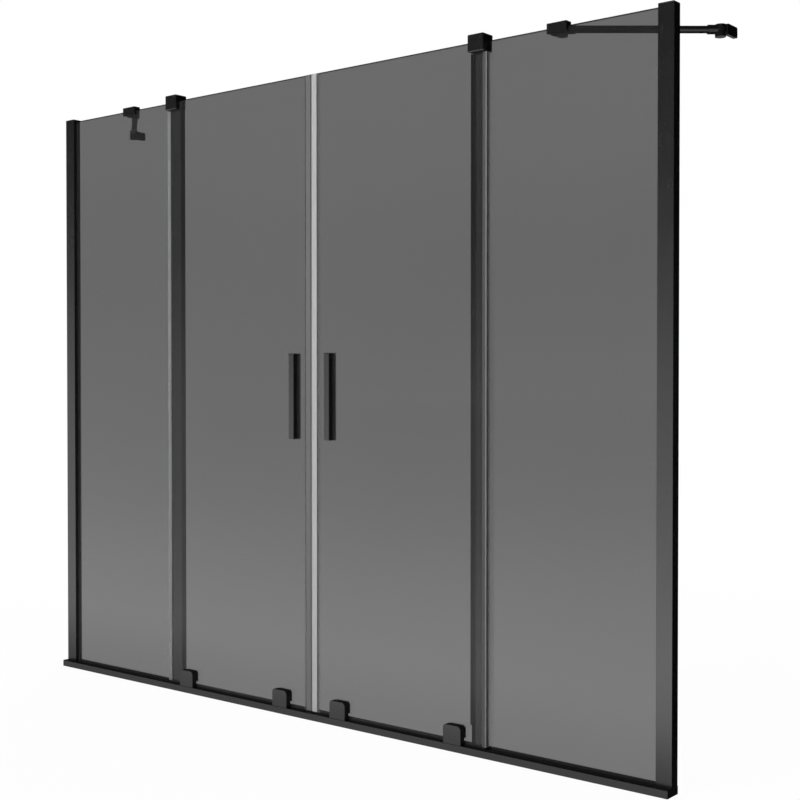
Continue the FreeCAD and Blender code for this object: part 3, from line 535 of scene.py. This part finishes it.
class FinishSettings(bpy.types.PropertyGroup):
    """Colours and gloss of the finishes."""

    coat_colour: FloatVectorProperty(
        name="Coat", description="Colour of the powder coat", subtype="COLOR",
        default=(0.008, 0.008, 0.0083))
    coat_roughness: FloatProperty(
        name="Coat Roughness", description="How matt the powder coat is", subtype="FACTOR", default=0.26)
    coat_index: FloatProperty(
        name="Coat Index", description="Refractive index of the powder coat", default=1.65)
    moulding_colour: FloatVectorProperty(
        name="Mouldings", description="Colour of the plastic caps", subtype="COLOR",
        default=(0.01, 0.01, 0.0105))
    rubber_colour: FloatVectorProperty(
        name="Rubber", description="Colour of gaskets and pads", subtype="COLOR",
        default=(0.012, 0.012, 0.012))
    glass_tint: FloatVectorProperty(
        name="Glass", description="Light that passes one pane", subtype="COLOR",
        default=(0.196, 0.196, 0.196))
    # Painted shade: share of the glass tint's light left at mid height
    glass_middle_shade: FloatProperty(
        name="Glass Middle", description="Share of that light at mid height", subtype="FACTOR",
        default=0.71)
    glass_clearness: FloatProperty(
        name="Glass Clearness", description="Share of the glass that is free of haze", subtype="FACTOR",
        default=0.91)
    glass_index: FloatProperty(
        name="Glass Index", description="Refractive index of the glass", default=1.36)
    seal_colour: FloatVectorProperty(
        name="Left Outer Seal", description="Colour of the left outer seal", subtype="COLOR",
        default=(0.9, 0.9, 0.9))
    smoked_seal_colour: FloatVectorProperty(
        name="Right Outer Seal", description="Colour of the right outer seal", subtype="COLOR",
        default=(0.145, 0.145, 0.145))
    nose_colour: FloatVectorProperty(
        name="Seal Nose", description="Colour of the right outer seal's nose", subtype="COLOR",
        default=(0.34, 0.34, 0.34))
    left_seal_colour: FloatVectorProperty(
        name="Left Seal", description="Colour of the left meeting seal", subtype="COLOR",
        default=(0.245, 0.245, 0.245))
    right_seal_colour: FloatVectorProperty(
        name="Right Seal", description="Colour of the right meeting seal", subtype="COLOR",
        default=(0.66, 0.66, 0.66))
    grey_magnet: FloatVectorProperty(
        name="Left Magnet", description="Colour of the left door's magnet", subtype="COLOR",
        default=(0.16, 0.16, 0.16))
    pale_magnet: FloatVectorProperty(
        name="Right Magnet", description="Colour of the right door's magnet", subtype="COLOR",
        default=(0.5, 0.5, 0.49))
    blackened_colour: FloatVectorProperty(
        name="Screws", description="Colour of blackened screws", subtype="COLOR",
        default=(0.06, 0.06, 0.065))
    steel_colour: FloatVectorProperty(
        name="Axles", description="Colour of bright steel", subtype="COLOR", default=(0.6, 0.6, 0.6))
    nylon_colour: FloatVectorProperty(
        name="Rollers", description="Colour of the nylon rollers", subtype="COLOR",
        default=(0.75, 0.75, 0.72))


class FastenerSettings(bpy.types.PropertyGroup):
    """Sizes of the screws that the frame leaves open."""

    set_screw_flats: FloatProperty(
        name="Set Screw Socket", description="Width of a set screw's hexagon socket", unit="LENGTH",
        default=0.0025)
    pan_recess: FloatProperty(
        name="Cross Recess", description="Half the reach of a pan head's cross recess", unit="LENGTH",
        default=0.0019)
    pan_head: FloatProperty(
        name="Pan Head", description="Height of a pan head", unit="LENGTH", default=0.0012)
    pan_shank: FloatProperty(
        name="Pan Shank", description="Radius of a pan screw's shank", unit="LENGTH", default=0.0019)
    handle_shank: FloatProperty(
        name="Handle Shank", description="Radius of a handle bolt's shank", unit="LENGTH", default=0.003)
    handle_head: FloatProperty(
        name="Handle Head", description="Height of a handle bolt's head", unit="LENGTH", default=0.0048)
    handle_flats: FloatProperty(
        name="Handle Socket", description="Width of a handle bolt's socket", unit="LENGTH",
        default=0.005)
    trolley_shank: FloatProperty(
        name="Trolley Shank", description="Radius of a trolley screw's shank", unit="LENGTH",
        default=0.002)
    trolley_flats: FloatProperty(
        name="Trolley Flats", description="Width across a trolley screw's head", unit="LENGTH",
        default=0.007)
    trolley_head: FloatProperty(
        name="Trolley Head", description="Height of a trolley screw's head", unit="LENGTH",
        default=0.0018)
    trolley_washer: FloatProperty(
        name="Trolley Washer", description="Thickness of the washer under it", unit="LENGTH",
        default=0.0005)


class StudioSettings(bpy.types.PropertyGroup):
    """Camera, floor and light."""

    camera_place: FloatVectorProperty(
        name="Camera", description="Where the camera stands", subtype="TRANSLATION", unit="LENGTH",
        default=(2.0756, -2.2527, 0.791))
    camera_heading: FloatProperty(
        name="Heading", description="Turn of the camera to the left of +Y", subtype="ANGLE",
        default=math.radians(38.92))
    camera_tilt: FloatProperty(
        name="Tilt", description="How far the camera looks down", subtype="ANGLE",
        default=math.radians(0.923))
    camera_lens: FloatProperty(
        name="Lens", description="Focal length on a 36 mm sensor", unit="CAMERA", default=59.23)
    floor_size: FloatProperty(name="Floor", description="Side of the floor", unit="LENGTH", default=60.0)
    shadow_share: FloatProperty(
        name="Shadow", description="How much of the floor's own shading the camera sees", subtype="FACTOR",
        default=0.03)
    ambient: FloatProperty(
        name="Ambient", description="Light from all round", subtype="FACTOR", default=0.16)
    key_power: FloatProperty(
        name="Key", description="Power of the key softbox", unit="POWER", default=209.0)
    fill_power: FloatProperty(
        name="Fill", description="Power of the rear softbox", unit="POWER", default=180.0)
    horizon_gloss: FloatProperty(
        name="Horizon Gloss", description="Brightness that gloss shows at eye level", subtype="FACTOR",
        default=0.66)
    sky_gloss: FloatProperty(
        name="Sky Gloss", description="Brightness that gloss shows overhead", subtype="FACTOR",
        default=0.01)
    floor_gloss: FloatProperty(
        name="Floor Gloss", description="Brightness that gloss shows of the near floor", subtype="FACTOR",
        default=0.85)
    corner_gloss: FloatProperty(
        name="Corner Gloss", description="Brightness that gloss shows of the dark rear corner",
        subtype="FACTOR", default=0.02)


def finishes():
    return bpy.context.scene.screen_finishes


def fasteners():
    return bpy.context.scene.screen_fasteners


def studio():
    return bpy.context.scene.screen_studio


# Operators


class SCREEN_OT_metalwork(bpy.types.Operator):
    """Coat the rail, profiles, blocks, bars, handles and trolleys"""
    bl_idname = "shower_screen.metalwork"
    bl_label = "Coat Metalwork"
    bl_options = {"REGISTER", "UNDO"}

    def execute(self, context):
        fixed = both("wall_channel", "glazing_profile", "guide_block", "bar_clamp")
        fixed += both("support_bar", "bar_bracket")
        moving = both("handle_front", "handle_rear", "trolley_inner", "trolley_outer", "trolley_back_plates")
        give(black_coat(finishes()), ["bottom_rail"] + fixed + moving)
        return {"FINISHED"}


class SCREEN_OT_mouldings(bpy.types.Operator):
    """Finish the rail ends, profile caps and slot linings"""
    bl_idname = "shower_screen.mouldings"
    bl_label = "Finish Mouldings"
    bl_options = {"REGISTER", "UNDO"}

    def execute(self, context):
        give(moulded_black(finishes()), both("rail_end", "profile_cap", "guide_liner"))
        return {"FINISHED"}


class SCREEN_OT_rubbers(bpy.types.Operator):
    """Finish the gaskets, edge seals, door sweeps, pads and track stops"""
    bl_idname = "shower_screen.rubbers"
    bl_label = "Finish Rubbers"
    bl_options = {"REGISTER", "UNDO"}

    def execute(self, context):
        paired = both("glazing_gasket", "edge_seal", "bottom_seal", "trolley_pads")
        give(black_rubber(finishes()), ["track_stops"] + paired)
        return {"FINISHED"}


class SCREEN_OT_glass(bpy.types.Operator):
    """Tint the fixed panes and the doors"""
    bl_idname = "shower_screen.glass"
    bl_label = "Tint Glass"
    bl_options = {"REGISTER", "UNDO"}

    def execute(self, context):
        for kind in ("fixed_glass", "door_glass"):
            low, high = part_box(kind + "_right")
            give(tinted_glass(finishes(), kind + "_tint", high.z, low.x), both(kind))
        return {"FINISHED"}


class SCREEN_OT_seals(bpy.types.Operator):
    """Finish the clear door seals and their magnets"""
    bl_idname = "shower_screen.seals"
    bl_label = "Finish Seals"
    bl_options = {"REGISTER", "UNDO"}

    def execute(self, context):
        settings = finishes()
        give(clear_seal("clear_seal", settings.seal_colour), ["outer_seal_left"])
        edge, outer_edge = (corner.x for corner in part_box("door_glass_right"))
        smoked = fin_seal("smoked_seal", settings.smoked_seal_colour, settings.nose_colour, outer_edge)
        give(smoked, ["outer_seal_right"])
        give(bulb_seal("grey_seal", settings.left_seal_colour, edge), ["magnetic_seal_left"])
        milky = bulb_seal("milky_seal", settings.right_seal_colour, edge + WIDER_BULB)
        give(milky, ["magnetic_seal_right"])
        give(magnet_strip("grey_magnet", settings.grey_magnet), ["magnet_strip_left"])
        give(magnet_strip("pale_magnet", settings.pale_magnet), ["magnet_strip_right"])
        return {"FINISHED"}


class SCREEN_OT_rollers(bpy.types.Operator):
    """Finish the rollers and their axles"""
    bl_idname = "shower_screen.rollers"
    bl_label = "Finish Rollers"
    bl_options = {"REGISTER", "UNDO"}

    def execute(self, context):
        give(turned_nylon(finishes()), both("roller_inner", "roller_outer"))
        give(ground_steel(finishes()), both("roller_axles"))
        return {"FINISHED"}


class SCREEN_OT_fixing_screws(bpy.types.Operator):
    """Model the profile screws and the set screws of blocks and clamps"""
    bl_idname = "shower_screen.fixing_screws"
    bl_label = "Model Fixing Screws"
    bl_options = {"REGISTER", "UNDO"}

    def execute(self, context):
        sizes = fasteners()
        steel = blackened_steel(finishes())
        profile_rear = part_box("glazing_profile_right")[1].y
        boxes = solids_of("fixing_screws")
        pans = [box for box in boxes if box[1].y > profile_rear]
        grubs = [box for box in boxes if box[1].y <= profile_rear]
        low, high = pans[0]
        head_radius = (high.x - low.x) / 2
        pan = pan_screw(sizes.pan_shank, head_radius, sizes.pan_head, high.y - low.y, sizes.pan_recess)
        pieces = [lay_at(pan, pans)]
        for low, high in grubs:
            grub = set_screw((high.x - low.x) / 2, high.y - low.y, sizes.set_screw_flats)
            pieces.append(lay_at(grub, [(low, high)]))
        finish(join(*pieces), "fixing_screw_set", "frame", steel, ["fixing_screws"])
        return {"FINISHED"}


class SCREEN_OT_handle_bolts(bpy.types.Operator):
    """Model the cap screws of the handles"""
    bl_idname = "shower_screen.handle_bolts"
    bl_label = "Model Handle Bolts"
    bl_options = {"REGISTER", "UNDO"}

    def execute(self, context):
        sizes = fasteners()
        steel = blackened_steel(finishes())
        for side in SIDES:
            node = "handle_bolts_" + side
            boxes = solids_of(node)
            low, high = boxes[0]
            head_radius = (high.x - low.x) / 2
            length = high.y - low.y
            bolt = cap_screw(sizes.handle_shank, head_radius, sizes.handle_head, length, sizes.handle_flats)
            bolts = lay_at(bolt, boxes)
            finish(bolts, "handle_cap_screws_" + side, "door_" + side, steel, [node])
        return {"FINISHED"}


class SCREEN_OT_trolley_screws(bpy.types.Operator):
    """Model the hexagon screws behind the trolleys"""
    bl_idname = "shower_screen.trolley_screws"
    bl_label = "Model Trolley Screws"
    bl_options = {"REGISTER", "UNDO"}

    def execute(self, context):
        sizes = fasteners()
        steel = blackened_steel(finishes())
        for side in SIDES:
            node = "trolley_screws_" + side
            boxes = solids_of(node)
            low, high = boxes[0]
            length = high.y - low.y
            screw = hexagon_screw(
                sizes.trolley_shank, sizes.trolley_flats, sizes.trolley_head, length, sizes.trolley_washer)
            screws = lay_at(screw, boxes)
            finish(screws, "trolley_hex_screws_" + side, "door_" + side, steel, [node])
        return {"FINISHED"}


class SCREEN_OT_studio(bpy.types.Operator):
    """Set up the floor, the light and the camera"""
    bl_idname = "shower_screen.studio"
    bl_label = "Set Up Studio"
    bl_options = {"REGISTER", "UNDO"}

    def execute(self, context):
        settings = studio()
        scene = bpy.context.scene
        scene.view_settings.view_transform = "Standard"
        self.lay_floor(settings)
        self.light_world(settings)
        self.hang_softbox("key_softbox", KEY_SPOT, settings.key_power)
        self.hang_softbox("rear_softbox", REAR_SPOT, settings.fill_power)
        self.stand_camera(settings)
        return {"FINISHED"}

    def sort_rays(self, wire):
        """Rays that see plain white, straight or through glass, and rays that see the studio in a gloss."""
        camera, glossy, transmitted, mirrored = (
            wire.add("ShaderNodeLightPath", out=name)
            for name in ("Is Camera Ray", "Is Glossy Ray", "Is Transmission Ray", "Glossy Depth"))
        through = transmitted * mirrored.ease(0.0, 1.0, 1.0, 0.0)
        return camera.at_least(through), glossy * (1.0 - through)

    def lay_floor(self, settings):
        """A pale floor that the camera sees as white, with a soft shadow near the screen."""
        bpy.ops.object.select_all(action="DESELECT")
        bpy.ops.mesh.primitive_plane_add(size=settings.floor_size)
        floor = bpy.context.object
        floor.name = "studio_floor"
        material, wire = new_tree("pale_floor")
        seen, glossy = self.sort_rays(wire)
        spot = wire.add("ShaderNodeTexCoord", out="Object")
        distance = wire.add("ShaderNodeVectorMath", {"operation": "LENGTH"}, {0: spot}, out="Value")
        x, y = (wire.add("ShaderNodeSeparateXYZ", inputs={"Vector": spot}, out=axis) for axis in "XY")
        corner = ((x * CORNER.x + y * CORNER.y) / distance).ease(*CORNER_STEP, settings.corner_gloss)
        shine = distance.ease(*FLOOR_NEAR_FAR, settings.floor_gloss, settings.horizon_gloss)
        # Painted shade: the floor gloss dims near and behind the screen and beside the rail's right end
        shine = shine * y.ease(*FLOOR_SCREEN_SHADE) * x.ease(*FLOOR_RIGHTWARDS) * x.ease(*FLOOR_FAR_RIGHT)
        beside = x.ease(*RAIL_END_X) * y.ease(*RAIL_END_Y)
        rear = y.ease(*REAR_Y).at_least(beside) * distance.ease(*REAR_REACH)
        shine = shine * (1.0 - rear * (1.0 - settings.corner_gloss))
        share = distance.ease(*SHADOW_REACH, 1.0 - settings.shadow_share, 1.0)
        grey = 1.0 - glossy + glossy * corner * shine
        speckle = noise(wire, spot, 30.0, 4.0)
        pale = speckle.tint((0.78, 0.78, 0.78, 1.0), (0.82, 0.82, 0.82, 1.0))
        matt = wire.add("ShaderNodeBsdfDiffuse", inputs={"Color": pale})
        glow = wire.add("ShaderNodeEmission", inputs={"Color": WHITE, "Strength": grey})
        factor = (seen * share).at_least(glossy)
        mixed = wire.add("ShaderNodeMixShader", inputs={0: factor, 1: matt, 2: glow})
        wire.add("ShaderNodeOutputMaterial", inputs={"Surface": mixed})
        floor.data.materials.append(material)

    def light_world(self, settings):
        """White behind the screen; gloss sees a studio with a dim ceiling and a dark rear corner."""
        world = bpy.data.worlds.new("studio")
        bpy.context.scene.world = world
        world.use_nodes = True
        world.node_tree.nodes.clear()
        wire = Wire(world.node_tree)
        seen, glossy = self.sort_rays(wire)
        heading = wire.add("ShaderNodeTexCoord", out="Generated")
        x, y, z = (wire.add("ShaderNodeSeparateXYZ", inputs={"Vector": heading}, out=axis) for axis in "XYZ")
        corner = (x * CORNER.x + y * CORNER.y).ease(*CORNER_STEP, settings.corner_gloss)
        sky = z.ease(*SKY_HEIGHT, settings.horizon_gloss, settings.sky_gloss)
        sky = sky * x.ease(*SKY_LEFT) * x.ease(*SKY_RIGHT)
        rest = (1.0 - seen) * (1.0 - glossy)
        strength = seen + glossy * corner * sky + rest * settings.ambient
        back = wire.add("ShaderNodeBackground", inputs={"Color": WHITE, "Strength": strength})
        wire.add("ShaderNodeOutputWorld", inputs={"Surface": back})

    def hang_softbox(self, name, spot, power):
        """A rectangular softbox aimed at the middle of the screen."""
        bpy.ops.object.select_all(action="DESELECT")
        bpy.ops.object.light_add(type="AREA", location=spot)
        lamp = bpy.context.object
        lamp.name = name
        lamp.data.shape = "RECTANGLE"
        lamp.data.size, lamp.data.size_y = SOFTBOX_SIZE
        lamp.data.energy = power
        lamp.visible_camera = False
        lamp.visible_glossy = False
        lamp.visible_transmission = False
        lamp.rotation_euler = (SOFTBOX_AIM - Vector(spot)).to_track_quat("-Z", "Y").to_euler()

    def stand_camera(self, settings):
        """The camera at the photo's viewing angle."""
        bpy.ops.object.select_all(action="DESELECT")
        tilt = math.radians(90) - settings.camera_tilt
        bpy.ops.object.camera_add(location=settings.camera_place, rotation=(tilt, 0, settings.camera_heading))
        camera = bpy.context.object
        camera.name = "studio_camera"
        camera.data.lens = settings.camera_lens
        camera.data.sensor_width = SENSOR_WIDTH
        bpy.context.scene.camera = camera


class SCREEN_PT_panel(bpy.types.Panel):
    """Lists the steps and their settings"""
    bl_idname = "SCREEN_PT_panel"
    bl_label = "Shower Screen"
    bl_space_type = "VIEW_3D"
    bl_region_type = "UI"
    bl_category = "Shower Screen"

    def draw(self, context):
        column = self.layout.column()
        for step in STEPS:
            column.operator(step.bl_idname)
        for group in (finishes(), fasteners(), studio()):
            box = self.layout.box()
            for name in group.__annotations__:
                box.prop(group, name)


STEPS = (
    SCREEN_OT_metalwork,
    SCREEN_OT_mouldings,
    SCREEN_OT_rubbers,
    SCREEN_OT_glass,
    SCREEN_OT_seals,
    SCREEN_OT_rollers,
    SCREEN_OT_fixing_screws,
    SCREEN_OT_handle_bolts,
    SCREEN_OT_trolley_screws,
    SCREEN_OT_studio,
)
GROUPS = {
    "screen_finishes": FinishSettings,
    "screen_fasteners": FastenerSettings,
    "screen_studio": StudioSettings,
}


def register():
    for name, group in GROUPS.items():
        bpy.utils.register_class(group)
        setattr(bpy.types.Scene, name, PointerProperty(type=group))
    for step in STEPS:
        bpy.utils.register_class(step)
    bpy.utils.register_class(SCREEN_PT_panel)


def unregister():
    bpy.utils.unregister_class(SCREEN_PT_panel)
    for step in reversed(STEPS):
        bpy.utils.unregister_class(step)
    for name, group in GROUPS.items():
        delattr(bpy.types.Scene, name)
        bpy.utils.unregister_class(group)


def main():
    register()
    for step in STEPS:
        group, name = step.bl_idname.split(".")
        getattr(getattr(bpy.ops, group), name)()


if __name__ == "__main__":
    main()
